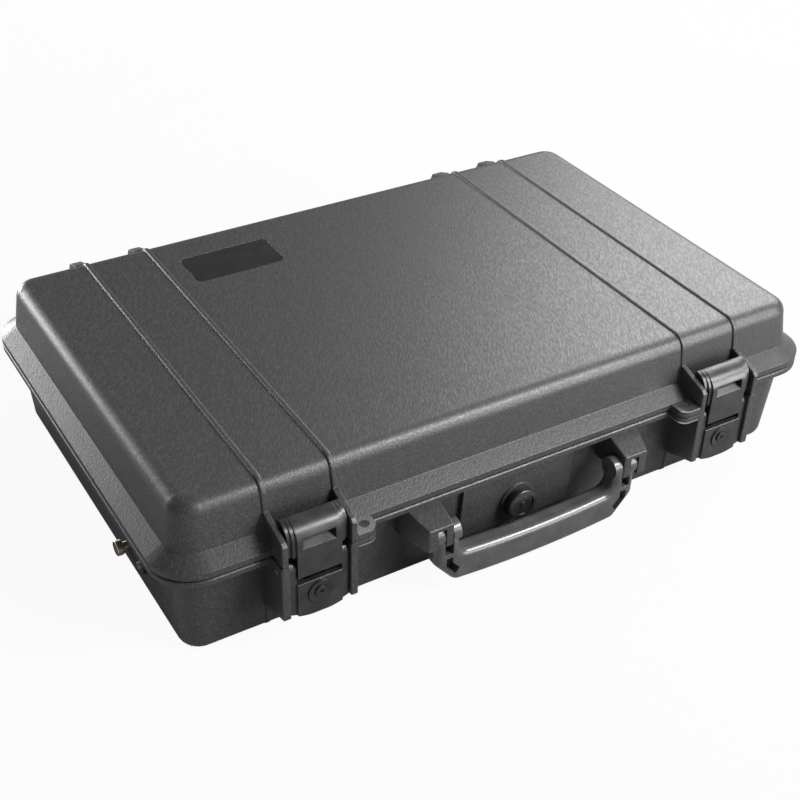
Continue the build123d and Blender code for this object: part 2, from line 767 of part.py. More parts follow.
def lock_barrel():
    """The lock's fixed body: a round head on the lever's face and a tube behind it."""
    body = rod_y(0, lock_z, lock_head_r, (-lever_front - lock_head, -lever_front))
    body += rod_y(0, lock_z, lock_body_r, (-lever_front, -lock_end))
    face = -lever_front - lock_head
    dish = Cone(plug_r, lock_head_r - lock_dish, lock_dish)
    body -= Pos(0, face + lock_dish / 2, lock_z) * Rot(90, 0, 0) * dish
    return body - rod_y(0, lock_z, plug_r + run, (face - over, -lock_end + over))


def lock_nut():
    back = -lever_front + lever_plate
    nut = hex_y(0, lock_z, lock_nut_r, (back, back + lock_nut_thick))
    return nut - rod_y(0, lock_z, lock_body_r + run, (back - over, back + lock_nut_thick + over))


def lock_plug():
    """The plug that the key turns; its square tail carries the cam."""
    face = -lever_front - lock_head - plug_proud
    deep = face + keyway_depth
    half = keyway_length / 2
    tail = plug_r / 2
    plug = rod_y(0, lock_z, plug_r, (face, cam_near))
    plug -= block((-half, half), (face - over, deep), (lock_z - keyway_width / 2, lock_z + keyway_width / 2))
    plug -= rod_y(0, lock_z, keyway_width, (face - over, deep))
    return plug + block((-tail, tail), (cam_near, cam_near + cam_thick), (lock_z - tail, lock_z + tail))


def lock_cam():
    """The cam: it points along the case when unlocked."""
    far = cam_near + cam_thick
    half = cam_width / 2
    tail = plug_r / 2 + run
    cam = rod_y(0, lock_z, plug_r, (cam_near, far))
    cam += block((0, cam_reach), (cam_near, far), (lock_z - half, lock_z + half))
    return cam - block((-tail, tail), (cam_near - over, far + over), (lock_z - tail, lock_z + tail))


# ================================================================ handle
def handle_outline():
    """The handle seen from the front: two legs and a grip that bows down in the middle."""
    outer = tine_x[3]
    inner = tine_x[0]
    low = handle_foot_z
    high = low + handle_grip
    heel = outer - handle_chamfer
    ankle_z = low + handle_chamfer + handle_cheek
    with BuildSketch(Plane.XZ) as outline:
        with BuildLine():
            Polyline((-inner, high), (-inner, handle_z), (-outer, handle_z), (-outer, ankle_z), (-heel, low))
            ThreePointArc((-heel, low), (0, low - handle_bow), (heel, low))
            Polyline((heel, low), (outer, ankle_z), (outer, handle_z), (inner, handle_z), (inner, high))
            ThreePointArc((inner, high), (0, high - handle_bow), (-inner, high))
        make_face()
        corners = outline.vertices().filter_by(below_pivot)
        fillet(corners, handle_bend)
    return outline.sketch


def below_pivot(shape):
    return shape.center().Z < handle_z - over


def pocket(side):
    """A chevron-shaped pocket in the front of the handle, under the fork's crotch."""
    far = tine_x[3] - pocket_wall
    near = far - pocket_width
    top_z = handle_z - crotch_drop - pocket_drop
    elbow_z = top_z - pocket_leg
    tip_x = near - pocket_run[0]
    tip_z = elbow_z - pocket_run[1]
    end_z = tip_z - pocket_tip[1]
    corner_z = end_z + (far - tip_x - pocket_tip[0])
    points = [(far, top_z), (near, top_z), (near, elbow_z), (tip_x, tip_z),
              (tip_x + pocket_tip[0], end_z), (far, corner_z)]
    outline = Plane.XZ * Polygon(*[(side * x, z) for x, z in points], align=None)
    return Pos(0, handle_y - handle_half + pocket_depth, 0) * extrude(outline, rim_depth, dir=(0, -1, 0))


def carry_handle():
    """A bowed grip between two forks, drawn hanging down."""
    inner = tine_x[0]
    outer = tine_x[3]
    body = extrude(handle_outline(), 2 * handle_half, dir=(0, -1, 0))
    body = Pos(0, handle_y + handle_half, 0) * body
    body = fillet(body.faces().filter_by(Axis.Y).edges().filter_by(below_pivot), handle_edge)
    body += rod_x(handle_y, handle_z, handle_half, (-outer, -inner))
    body += rod_x(handle_y, handle_z, handle_half, (inner, outer))
    crotch_z = handle_z - crotch_drop
    for side in (-1, 1):
        body -= block(span(side, tine_x[1], tine_x[2]), (-rim_depth, 0), (crotch_z, case_height))
        body -= rod_x(handle_y, handle_z, handle_pin_r + run, span(side, inner - over, outer + over))
        body -= pocket(side)
    return body


def handle_pins():
    pins = []
    for side in (-1, 1):
        reach = span(side, tine_x[0] - handle_pin_proud, handle_pin_end)
        pins.append(rod_x(handle_y, handle_z, handle_pin_r, reach))
    return Compound(pins)


# ================================================================ purge valve
def purge_valve_body():
    """A threaded bush with an outer flange; the knob's stem screws into it."""
    far = -valve_inner_face + valve_nut_thick
    body = rod_y(0, valve_z, valve_flange_r, (-valve_face, -valve_face + valve_flange))
    body += rod_y(0, valve_z, valve_thread_r, (-valve_face, far + valve_tail))
    return body - rod_y(0, valve_z, knob_stem_r + run, (-valve_face - over, far))


def purge_valve_seal():
    face = -valve_boss_front
    seal = rod_y(0, valve_z, valve_flange_r, (face - valve_seal, face))
    return seal - rod_y(0, valve_z, valve_thread_r + run, (face - valve_seal - over, face + over))


def purge_valve_nut():
    near = -valve_inner_face
    far = near + valve_nut_thick
    nut = hex_y(0, valve_z, valve_nut_r, (near, far))
    return nut - rod_y(0, valve_z, valve_thread_r + run, (near - over, far + over))


def purge_valve_knob():
    """The knob, with a rim around a dished face and a button in its middle."""
    front = knob_back - knob_height
    knob = rod_y(0, valve_z, knob_r, (front, knob_back))
    knob = fillet(knob.edges().sort_by(Axis.Y)[0], knob_round)
    knob -= rod_y(0, valve_z, knob_r - knob_rim, (front - over, front + knob_dish))
    knob += rod_y(0, valve_z, knob_button_r, (front, knob_back))
    return knob + rod_y(0, valve_z, knob_stem_r, (knob_back - over, -valve_inner_face - valve_tail))


# ================================================================ strap anchors
def strap_anchor(side):
    plate = anchor_outline(side, anchor_r, (anchor_face, anchor_face + anchor_plate))
    reach = span(side, anchor_face - over, anchor_face + anchor_plate + over)
    plate -= rod_x(anchor_y, anchor_z, stud_neck_r + run, reach)
    return plate - rod_x(screw_y, anchor_z, screw_shank_r + run, reach)


def strap_stud(side):
    """A turned stud: shank through the wall, neck, and a round head for the strap's eye."""
    neck_end = anchor_face + anchor_plate + stud_neck
    stud = rod_x(anchor_y, anchor_z, stud_neck_r,
                 span(side, anchor_inner_face - stud_nut_thick - stud_tail, neck_end + over))
    head = rod_x(anchor_y, anchor_z, stud_head_r, span(side, neck_end, neck_end + stud_head))
    return stud + fillet(head.edges(), stud_edge)


def strap_stud_nut(side):
    near = anchor_inner_face - stud_nut_thick
    blank = extrude(RegularPolygon(stud_nut_r / cos(radians(30)), 6), stud_nut_thick)
    nut = Pos(min(span(side, near, anchor_inner_face)), anchor_y, anchor_z) * Rot(0, 90, 0) * blank
    return nut - rod_x(anchor_y, anchor_z, stud_neck_r + run,
                       span(side, near - over, anchor_inner_face + over))


def anchor_screws():
    face = anchor_face + anchor_plate
    screws = []
    for side in (-1, 1):
        head = rod_x(screw_y, anchor_z, screw_head_r, span(side, face, face + screw_head))
        shank = rod_x(screw_y, anchor_z, screw_shank_r, span(side, screw_end, face + screw_head / 2))
        screws.append(head + shank)
    return Compound(screws)


# ================================================================ all parts
def build():
    solid_base = base_form_with_ribs()
    parts = {
        "base_shell": base_shell(solid_base),
        "valve_panel": valve_panel(solid_base),
        "base_foam": base_foam(),
        "lid_shell": lid_shell(),
        "lid_foam": lid_foam(),
        "lid_gasket": lid_gasket(),
        "label_plate": label_plate(),
        "carry_handle": carry_handle(),
        "handle_pins": handle_pins(),
        "purge_valve_body": purge_valve_body(),
        "purge_valve_seal": purge_valve_seal(),
        "purge_valve_nut": purge_valve_nut(),
        "purge_valve_knob": purge_valve_knob(),
        "anchor_screws": anchor_screws(),
    }
    latch_parts = {
        "latch_lever": latch_lever(),
        "latch_hook": latch_hook(),
        "hook_pin": hook_pin(),
        "lock_barrel": lock_barrel(),
        "lock_nut": lock_nut(),
        "lock_plug": lock_plug(),
        "lock_cam": lock_cam(),
    }
    for name, side in (("left", -1), ("right", 1)):
        for part, shape in latch_parts.items():
            parts[part + "_" + name] = Pos(side * latch_x, 0, 0) * shape
        parts["handle_bracket_" + name] = handle_bracket(side, solid_base)
        parts["latch_guard_outer_" + name] = outer_guard(side, solid_base)
        parts["latch_guard_inner_" + name] = inner_guard(side, solid_base)
        parts["lever_pins_" + name] = lever_pins(side)
        parts["hinge_pin_" + name] = hinge_pin(side)
        parts["lid_padlock_eyelet_" + name] = lid_padlock_eyelet(side)
        parts["base_padlock_eyelet_" + name] = base_padlock_eyelet(side)
        parts["strap_anchor_" + name] = strap_anchor(side)
        parts["strap_stud_" + name] = strap_stud(side)
        parts["strap_stud_nut_" + name] = strap_stud_nut(side)
    return parts


os.makedirs("parts", exist_ok=True)
for node, shape in build().items():
    export_step(shape, "parts/" + node + ".step")
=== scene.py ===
"""Laptop hard case: finishes for its moulded, metal and rubber pieces, its two foam linings, and a small
studio with a floor, soft lights and a camera."""
import math

import bmesh
import bpy
from bpy.props import FloatProperty, FloatVectorProperty, PointerProperty, StringProperty
from mathutils import Matrix, Vector


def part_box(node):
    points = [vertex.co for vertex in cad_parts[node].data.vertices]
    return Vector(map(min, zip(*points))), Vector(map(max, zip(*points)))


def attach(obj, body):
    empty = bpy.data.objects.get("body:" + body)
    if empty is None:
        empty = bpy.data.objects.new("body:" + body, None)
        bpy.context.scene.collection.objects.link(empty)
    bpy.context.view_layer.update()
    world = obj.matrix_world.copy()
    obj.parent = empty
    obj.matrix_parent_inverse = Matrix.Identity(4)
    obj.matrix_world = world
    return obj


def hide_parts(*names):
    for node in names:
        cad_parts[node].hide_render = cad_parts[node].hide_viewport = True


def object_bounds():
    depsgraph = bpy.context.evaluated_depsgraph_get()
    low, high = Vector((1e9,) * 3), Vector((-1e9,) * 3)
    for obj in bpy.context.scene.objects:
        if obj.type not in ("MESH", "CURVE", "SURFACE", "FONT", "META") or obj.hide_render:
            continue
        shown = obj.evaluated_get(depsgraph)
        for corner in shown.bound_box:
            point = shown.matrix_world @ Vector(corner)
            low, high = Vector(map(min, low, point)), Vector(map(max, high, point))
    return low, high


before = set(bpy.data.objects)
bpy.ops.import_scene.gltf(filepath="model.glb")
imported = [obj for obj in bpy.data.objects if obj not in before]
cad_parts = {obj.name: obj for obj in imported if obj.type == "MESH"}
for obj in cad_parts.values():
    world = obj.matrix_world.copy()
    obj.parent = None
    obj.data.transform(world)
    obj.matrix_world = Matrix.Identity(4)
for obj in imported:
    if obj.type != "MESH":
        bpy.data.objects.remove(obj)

bl_info = {
    "name": "Laptop Hard Case",
    "version": (1, 0, 0),
    "blender": (4, 5, 0),
    "location": "3D View > Sidebar > Hard Case",
    "description": "Finishes, foam linings and studio for a laptop hard case",
    "category": "Object",
}

CAD_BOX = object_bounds()
MM = 0.001
WHITE = (1.0, 1.0, 1.0, 1.0)
PEAK_DROP = 2.24  # two levels of subdivision leave 1 / 2.24 of a lone peak's height
GLOW_SHARE = 0.94  # how much of the floor the camera sees as plain white; the rest shows the shadow

# name, place, aim, width, height, power in watts
LAMPS = (
    ("panel_back_right", (1.3, 0.6, 1.0), (0.15, -0.08, 0.1), 1.15, 0.7, 30.0),
    ("panel_left", (-0.7, 1.5, 0.22), (-0.24, 0.1, 0.08), 0.7, 0.4, 26.0),
    ("panel_grip", (0.62, -0.95, 0.95), (0.05, -0.17, 0.05), 0.6, 0.3, 26.0),
    ("panel_front", (0.95, -1.3, 0.4), (0.1, -0.15, 0.06), 0.9, 0.6, 20.0),
)


# Colour and node helpers

def linear(code):
    """sRGB hex code to a linear RGBA colour."""
    parts = [int(code.lstrip("#")[i:i + 2], 16) / 255 for i in (0, 2, 4)]
    return [c / 12.92 if c <= 0.04045 else ((c + 0.055) / 1.055) ** 2.4 for c in parts] + [1.0]


def add(tree, kind, inputs=None, links=None, **settings):
    """Adds a node to tree, with its settings, socket values and links."""
    node = tree.nodes.new(kind)
    for name, value in settings.items():
        setattr(node, name, value)
    for name, value in (inputs or {}).items():
        node.inputs[name].default_value = value
    for name, socket in (links or {}).items():
        tree.links.new(socket, node.inputs[name])
    return node


def new_material(name):
    """An empty node material with its tree, its output and its object coordinates."""
    material = bpy.data.materials.new(name)
    material.use_nodes = True
    tree = material.node_tree
    tree.nodes.clear()
    output = add(tree, "ShaderNodeOutputMaterial")
    place = add(tree, "ShaderNodeTexCoord").outputs["Object"]
    return material, tree, output, place


def two_colours(tree, factor, low, high, start=0.3, end=0.7):
    """A colour ramp between two hex colours, as a node."""
    ramp = add(tree, "ShaderNodeValToRGB", links={"Fac": factor})
    ramp.color_ramp.elements[0].position = start
    ramp.color_ramp.elements[0].color = linear(low)
    ramp.color_ramp.elements[1].position = end
    ramp.color_ramp.elements[1].color = linear(high)
    return ramp


def dress(nodes, material):
    """Gives CAD nodes one material each, in their own slots."""
    for name in nodes:
        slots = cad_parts[name].data.materials
        slots.clear()
        slots.append(material)


# Settings

class ShellSettings(bpy.types.PropertyGroup):
    """Finish of the two shells."""
    colour: StringProperty(name="Colour", description="sRGB hex colour of the moulded shells",
                           default="#262626")
    wear: StringProperty(name="Wear", description="sRGB hex colour of the fine scuffs", default="#3e3e3e")
    grain: FloatProperty(name="Grain", description="Width of one grain of the spark-eroded mould surface",
                         default=1.2 * MM, min=0.2 * MM, unit="LENGTH")
    scuff: FloatProperty(name="Scuff", description="Length of one fine scuff", default=4.5 * MM, min=0.5 * MM,
                         unit="LENGTH")
    edge: FloatProperty(name="Edge", description="Radius that catches light along moulded edges",
                        default=0.7 * MM, min=0.0, unit="LENGTH")
    roughness: FloatProperty(name="Roughness", description="Roughness of the shell between its grains",
                             default=0.42, min=0.0, max=1.0, subtype="FACTOR")


class FoamSettings(bpy.types.PropertyGroup):
    """Foam linings."""
    colour: StringProperty(name="Colour", description="sRGB hex colour of the foam", default="#3a3b3e")
    pitch: FloatProperty(name="Pitch", description="Distance between two peaks of the egg-crate foam",
                         default=32 * MM, min=10 * MM, unit="LENGTH")
    relief: FloatProperty(name="Relief", description="Height of the egg-crate peaks above the valleys",
                          default=8.5 * MM, min=1 * MM, unit="LENGTH")
    corner: FloatProperty(name="Corner", description="Corner radius of the flat pad, seen from above",
                          default=18 * MM, min=1 * MM, unit="LENGTH")
    round: FloatProperty(name="Round", description="Soft edge round of the flat pad",
                         default=2.5 * MM, min=0.5 * MM, unit="LENGTH")


class StudioSettings(bpy.types.PropertyGroup):
    """Floor, lights and camera."""
    floor_colour: StringProperty(name="Floor", description="sRGB hex colour of the floor", default="#b8b8b8")
    floor_size: FloatProperty(name="Floor size", description="Side of the square floor",
                              default=9.0, min=1.0, unit="LENGTH")
    air: FloatProperty(name="Air", description="Strength of the light from all round", default=0.3, min=0.0)
    azimuth: FloatProperty(name="Azimuth", description="Camera's turn about the case",
                           default=math.radians(-31.65), subtype="ANGLE")
    elevation: FloatProperty(name="Elevation", description="Camera's angle above the floor",
                             default=math.radians(35.43), subtype="ANGLE")
    roll: FloatProperty(name="Roll", description="Camera's roll",
                        default=math.radians(-1.54), subtype="ANGLE")
    distance: FloatProperty(name="Distance", description="Camera to the point that it looks at",
                            default=0.9774, min=0.1, unit="LENGTH")
    target: FloatVectorProperty(name="Target", description="Point that the camera looks at",
                                default=(-0.0207, -0.0356, 0.050), subtype="TRANSLATION", unit="LENGTH")
    lens: FloatProperty(name="Lens", description="Focal length in mm for a 36 mm sensor",
                        default=61.4, min=10.0)


# Materials

def moulded_polypropylene(settings):
    """Moulded polypropylene, spark-eroded grain: a dull black-grey skin whose small pits break reflections
    into a soft speckle, with short hairline scuffs that catch a little more light."""
    material, tree, output, place = new_material("moulded_polypropylene")
    # one pit per grain; real pits are about 0.3 mm wide and are drawn coarser, so that they show
    grain = add(tree, "ShaderNodeTexNoise", {"Scale": 1 / settings.grain, "Detail": 3.0, "Roughness": 0.6},
                {"Vector": place})
    # hairlines: noise drawn out along one way and bent by a broad, slow noise
    bend = add(tree, "ShaderNodeTexNoise", {"Scale": 7.0, "Detail": 1.0}, {"Vector": place})
    bent = add(tree, "ShaderNodeVectorMath", {1: (0.03, 0.03, 0.0)}, {0: bend.outputs["Color"]},
               operation="MULTIPLY")
    moved = add(tree, "ShaderNodeVectorMath", links={0: place, 1: bent.outputs["Vector"]}, operation="ADD")
    turned = add(tree, "ShaderNodeMapping", {"Rotation": (0.0, 0.0, math.radians(58)),
                                             "Scale": (settings.scuff, settings.grain, settings.grain)},
                 {"Vector": moved.outputs["Vector"]}, vector_type="TEXTURE")
    hair = add(tree, "ShaderNodeTexNoise", {"Scale": 1.0, "Detail": 2.0, "Roughness": 0.55},
               {"Vector": turned.outputs["Vector"]})
    colour = two_colours(tree, hair.outputs["Fac"], settings.colour, settings.wear, 0.42, 0.72)
    rough = add(tree, "ShaderNodeMapRange", {"From Min": 0.3, "From Max": 0.7,
                                             "To Min": settings.roughness + 0.08,
                                             "To Max": settings.roughness - 0.06},
                {"Value": hair.outputs["Fac"]})
    edge = add(tree, "ShaderNodeBevel", {"Radius": settings.edge}, samples=6)
    pits = add(tree, "ShaderNodeBump", {"Strength": 0.4, "Distance": 0.3 * MM},
               {"Height": grain.outputs["Fac"], "Normal": edge.outputs["Normal"]})
    lines = add(tree, "ShaderNodeBump", {"Strength": 0.32, "Distance": 0.3 * MM},
                {"Height": hair.outputs["Fac"], "Normal": pits.outputs["Normal"]})
    shader = add(tree, "ShaderNodeBsdfPrincipled", {"IOR": 1.49},
                 {"Base Color": colour.outputs["Color"], "Roughness": rough.outputs["Result"],
                  "Normal": lines.outputs["Normal"]})
    tree.links.new(shader.outputs["BSDF"], output.inputs["Surface"])
    return material


def plain_moulding(name, low, high, rough_low, rough_high, ior, grain, strength, edge):
    """A moulded plastic or rubber: two close colours, a fine grain and softly lit edges."""
    material, tree, output, place = new_material(name)
    cloud = add(tree, "ShaderNodeTexNoise", {"Scale": 90.0, "Detail": 3.0}, {"Vector": place})
    fine = add(tree, "ShaderNodeTexNoise", {"Scale": 1 / grain, "Detail": 2.0}, {"Vector": place})
    colour = two_colours(tree, cloud.outputs["Fac"], low, high)
    rough = add(tree, "ShaderNodeMapRange", {"From Min": 0.3, "From Max": 0.7, "To Min": rough_low,
                                             "To Max": rough_high}, {"Value": cloud.outputs["Fac"]})
    soft = add(tree, "ShaderNodeBevel", {"Radius": edge}, samples=6)
    bump = add(tree, "ShaderNodeBump", {"Strength": strength, "Distance": 0.2 * MM},
               {"Height": fine.outputs["Fac"], "Normal": soft.outputs["Normal"]})
    shader = add(tree, "ShaderNodeBsdfPrincipled", {"IOR": ior},
                 {"Base Color": colour.outputs["Color"], "Roughness": rough.outputs["Result"],
                  "Normal": bump.outputs["Normal"]})
    tree.links.new(shader.outputs["BSDF"], output.inputs["Surface"])
    return material


def turned_metal(name, low, high, rough_low, rough_high):
    """Turned or drawn metal: bright where it faces a light, with fine tool lines round its length."""
    material, tree, output, place = new_material(name)
    stretched = add(tree, "ShaderNodeMapping", {"Scale": (4000.0, 300.0, 300.0)}, {"Vector": place})
    lines = add(tree, "ShaderNodeTexNoise", {"Scale": 1.0, "Detail": 2.0},
                {"Vector": stretched.outputs["Vector"]})
    colour = two_colours(tree, lines.outputs["Fac"], low, high)
    rough = add(tree, "ShaderNodeMapRange", {"From Min": 0.3, "From Max": 0.7, "To Min": rough_low,
                                             "To Max": rough_high}, {"Value": lines.outputs["Fac"]})
    bump = add(tree, "ShaderNodeBump", {"Strength": 0.05, "Distance": 0.1 * MM},
               {"Height": lines.outputs["Fac"]})
    shader = add(tree, "ShaderNodeBsdfPrincipled", {"Metallic": 1.0},
                 {"Base Color": colour.outputs["Color"], "Roughness": rough.outputs["Result"],
                  "Normal": bump.outputs["Normal"]})
    tree.links.new(shader.outputs["BSDF"], output.inputs["Surface"])
    return material


def open_cell_foam(settings):
    """Open-cell polyurethane foam, cut: matt dark grey, peppered with tiny pores; the darker colour in each
    pore is painted shade.
    """
    material, tree, output, place = new_material("open_cell_polyurethane_foam")
    cells = add(tree, "ShaderNodeTexVoronoi", {"Scale": 900.0}, {"Vector": place})
    cloud = add(tree, "ShaderNodeTexNoise", {"Scale": 240.0, "Detail": 4.0}, {"Vector": place})
    # painted shade: each cell's hollow is darkened in colour, on top of the real pits that the bump below
    # makes
    shade = two_colours(tree, cells.outputs["Distance"], "#242528", settings.colour, 0.15, 0.6)
    bump = add(tree, "ShaderNodeBump", {"Strength": 0.5, "Distance": 0.4 * MM},
               {"Height": cells.outputs["Distance"]})
    rough = add(tree, "ShaderNodeBump", {"Strength": 0.3, "Distance": 0.6 * MM},
                {"Height": cloud.outputs["Fac"], "Normal": bump.outputs["Normal"]})
    shader = add(tree, "ShaderNodeBsdfPrincipled", {"Roughness": 0.95, "IOR": 1.45, "Sheen Weight": 0.25,
                                                    "Sheen Roughness": 0.5},
                 {"Base Color": shade.outputs["Color"], "Normal": rough.outputs["Normal"]})
    tree.links.new(shader.outputs["BSDF"], output.inputs["Surface"])
    return material


# Operators

class CASE_OT_shells(bpy.types.Operator):
    """Gives both shells their moulded skin."""
    bl_idname = "case.shells"
    bl_label = "Shells"

    def execute(self, context):
        skin = moulded_polypropylene(context.scene.case_shell)
        dress(["base_shell", "lid_shell", "valve_panel"], skin)
        for side in ("left", "right"):
            dress([f"handle_bracket_{side}", f"latch_guard_inner_{side}", f"latch_guard_outer_{side}"], skin)
        return {"FINISHED"}


class CASE_OT_latches(bpy.types.Operator):
    """Finishes the latch levers, hooks and locks."""
    bl_idname = "case.latches"
    bl_label = "Latches and locks"

    def execute(self, context):
        # glass-filled nylon, moulded in a polished tool: darker and glossier than the shells
        nylon = plain_moulding("moulded_nylon_satin", "#1d1d1d", "#292929", 0.26, 0.36, 1.53, 0.7 * MM, 0.06,
                               0.5 * MM)
        # die-cast zinc, black lacquer: nearly black with thin sharp lights on its edges
        zinc = plain_moulding("black_lacquered_zinc", "#1a1a1b", "#242425", 0.22, 0.3, 1.5, 0.5 * MM, 0.04,
                              0.35 * MM)
        steel = turned_metal("stainless_steel_turned", "#8e8c89", "#b3b1ad", 0.25, 0.38)
        for side in ("left", "right"):
            dress([f"latch_lever_{side}", f"latch_hook_{side}"], nylon)
            dress([f"lock_barrel_{side}", f"lock_plug_{side}", f"lock_nut_{side}", f"lock_cam_{side}"], zinc)
            dress([f"hook_pin_{side}", f"lever_pins_{side}", f"hinge_pin_{side}"], steel)
        dress(["handle_pins"], steel)
        return {"FINISHED"}


class CASE_OT_handle(bpy.types.Operator):
    """Finishes the carry handle."""
    bl_idname = "case.handle"
    bl_label = "Carry handle"

    def execute(self, context):
        # moulded polypropylene, smooth tool: satin, a broad soft light along the grip
        satin = plain_moulding("moulded_polypropylene_smooth", "#3a3a3b", "#454546", 0.22, 0.3, 1.49,
                               0.8 * MM, 0.1, 0.6 * MM)
        dress(["carry_handle"], satin)
        return {"FINISHED"}


class CASE_OT_valve(bpy.types.Operator):
    """Finishes the purge valve, its seal and the lid gasket."""
    bl_idname = "case.valve"
    bl_label = "Purge valve and seals"

    def execute(self, context):
        # acetal, turned and moulded: slippery black with a soft gloss
        acetal = plain_moulding("acetal_moulded", "#161617", "#1d1d1e", 0.26, 0.34, 1.48, 0.6 * MM, 0.05,
                                0.4 * MM)
        # EPDM rubber, extruded: matt, slightly dusty black
        rubber = plain_moulding("epdm_rubber_extruded", "#232324", "#2c2c2d", 0.72, 0.85, 1.5, 0.4 * MM, 0.12,
                                0.3 * MM)
        dress(["purge_valve_body", "purge_valve_knob", "purge_valve_nut"], acetal)
        dress(["purge_valve_seal", "lid_gasket"], rubber)
        return {"FINISHED"}


class CASE_OT_fittings(bpy.types.Operator):
    """Finishes the padlock eyelets, strap anchors, studs and the bare label plate."""
    bl_idname = "case.fittings"
    bl_label = "Fittings"

    def execute(self, context):
        steel = turned_metal("stainless_steel_pressed", "#aba9a5", "#cecbc7", 0.28, 0.42)
        # brass, bright nickel plate: a warm, almost mirror finish
        nickel = turned_metal("nickel_plated_brass", "#a89c90", "#ccc0b3", 0.22, 0.32)
        # polyester film label plate, printed solid: glossy black
        film = plain_moulding("polyester_film_gloss", "#111113", "#161618", 0.3, 0.36, 1.4, 1.5 * MM, 0.03,
                              0.2 * MM)
        smooth = plain_moulding("moulded_nylon_fitting", "#161617", "#1d1d1e", 0.3, 0.4, 1.53, 0.7 * MM, 0.08,
                                0.4 * MM)
        for side in ("left", "right"):
            dress([f"base_padlock_eyelet_{side}", f"lid_padlock_eyelet_{side}"], steel)
            dress([f"strap_anchor_{side}"], smooth)
            dress([f"strap_stud_{side}", f"strap_stud_nut_{side}"], nickel)
        dress(["anchor_screws"], steel)
        dress(["label_plate"], film)
        return {"FINISHED"}


def select_where(mesh, test):
    """In edit mode, selects the faces of mesh that pass test, and nothing else."""
    bpy.ops.mesh.select_all(action="DESELECT")
    shape = bmesh.from_edit_mesh(mesh)
    for face in shape.faces:
        face.select_set(bool(test(face)))
    bmesh.update_edit_mesh(mesh)


def settle(piece, name):
    """Names a piece and puts its object at the origin, with its place in its mesh."""
    piece.name = name
    piece.data.name = name
    bpy.ops.object.select_all(action="DESELECT")
    piece.select_set(True)
    bpy.context.view_layer.objects.active = piece
    bpy.ops.object.transform_apply(location=True, rotation=True, scale=True)
    return piece


class CASE_OT_base_foam(bpy.types.Operator):
    """Models the flat foam pad in the base."""
    bl_idname = "case.base_foam"
    bl_label = "Base foam"

    def execute(self, context):
        settings = context.scene.case_foam
        low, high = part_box("base_foam")
        size, middle = high - low, (high + low) / 2
        bpy.ops.object.select_all(action="DESELECT")
        bpy.ops.mesh.primitive_cube_add(size=1.0, location=middle, scale=size)
        pad = settle(context.active_object, "base_foam_pad")
        bpy.ops.object.mode_set(mode="EDIT")
        bpy.ops.mesh.select_all(action="DESELECT")
        shape = bmesh.from_edit_mesh(pad.data)
        for edge in shape.edges:
            along = (edge.verts[0].co - edge.verts[1].co).normalized()
            edge.select_set(abs(along.z) > 0.9)
        bmesh.update_edit_mesh(pad.data)
        bpy.ops.mesh.bevel(offset=settings.corner, segments=6, affect="EDGES")
        bpy.ops.mesh.select_all(action="DESELECT")
        shape = bmesh.from_edit_mesh(pad.data)
        for edge in shape.edges:
            edge.select_set(all(v.co.z > high.z - MM / 10 for v in edge.verts))
        bmesh.update_edit_mesh(pad.data)
        bpy.ops.mesh.bevel(offset=settings.round, segments=3, affect="EDGES")
        bpy.ops.object.mode_set(mode="OBJECT")
        bpy.ops.object.shade_smooth_by_angle(angle=math.radians(35))
        pad.data.materials.append(bpy.data.materials["open_cell_polyurethane_foam"])
        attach(pad, "base")
        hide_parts("base_foam")
        return {"FINISHED"}


class CASE_OT_lid_foam(bpy.types.Operator):
    """Models the egg-crate foam in the lid, with its peaks pointing down."""
    bl_idname = "case.lid_foam"
    bl_label = "Lid foam"

    def execute(self, context):
        settings = context.scene.case_foam
        low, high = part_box("lid_foam")
        size, middle = high - low, (high + low) / 2
        across = 2 * round(size.x / settings.pitch)
        deep = 2 * round(size.y / settings.pitch)
        bpy.ops.object.select_all(action="DESELECT")
        bpy.ops.mesh.primitive_grid_add(x_subdivisions=across, y_subdivisions=deep, size=1.0,
                                        location=(middle.x, middle.y, low.z + settings.relief))
        foam = context.active_object
        foam.scale = (size.x, size.y, 1.0)
        settle(foam, "lid_egg_crate_foam")
        step = Vector((size.x / across, size.y / deep))
        bpy.ops.object.mode_set(mode="EDIT")
        bpy.ops.mesh.select_mode(type="VERT")
        bpy.ops.mesh.select_all(action="DESELECT")
        shape = bmesh.from_edit_mesh(foam.data)
        for vert in shape.verts:
            column = round((vert.co.x - low.x) / step.x)
            row = round((vert.co.y - low.y) / step.y)
            inside = 0 < column < across and 0 < row < deep
            vert.select_set(inside and column % 2 == 1 and row % 2 == 1)
        bmesh.update_edit_mesh(foam.data)
        bpy.ops.transform.translate(value=(0.0, 0.0, -settings.relief * PEAK_DROP))
        bpy.ops.object.mode_set(mode="OBJECT")
        smooth = foam.modifiers.new("Soft peaks", "SUBSURF")
        smooth.levels = smooth.render_levels = 2
        bpy.ops.object.modifier_apply(modifier=smooth.name)
        bpy.ops.object.mode_set(mode="EDIT")
        bpy.ops.mesh.select_all(action="SELECT")
        bpy.ops.mesh.extrude_region_move(TRANSFORM_OT_translate={"value": (0.0, 0.0, high.z - low.z)})
        bpy.ops.transform.resize(value=(1.0, 1.0, 0.0), center_override=(middle.x, middle.y, high.z))
        bpy.ops.mesh.select_all(action="SELECT")
        bpy.ops.mesh.normals_make_consistent(inside=False)
        bpy.ops.object.mode_set(mode="OBJECT")
        bpy.ops.object.shade_smooth_by_angle(angle=math.radians(50))
        foam.data.materials.append(bpy.data.materials["open_cell_polyurethane_foam"])
        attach(foam, "lid")
        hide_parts("lid_foam")
        return {"FINISHED"}


class CASE_OT_foam_finish(bpy.types.Operator):
    """Makes the foam's finish, which both linings share."""
    bl_idname = "case.foam_finish"
    bl_label = "Foam finish"

    def execute(self, context):
        open_cell_foam(context.scene.case_foam)
        return {"FINISHED"}


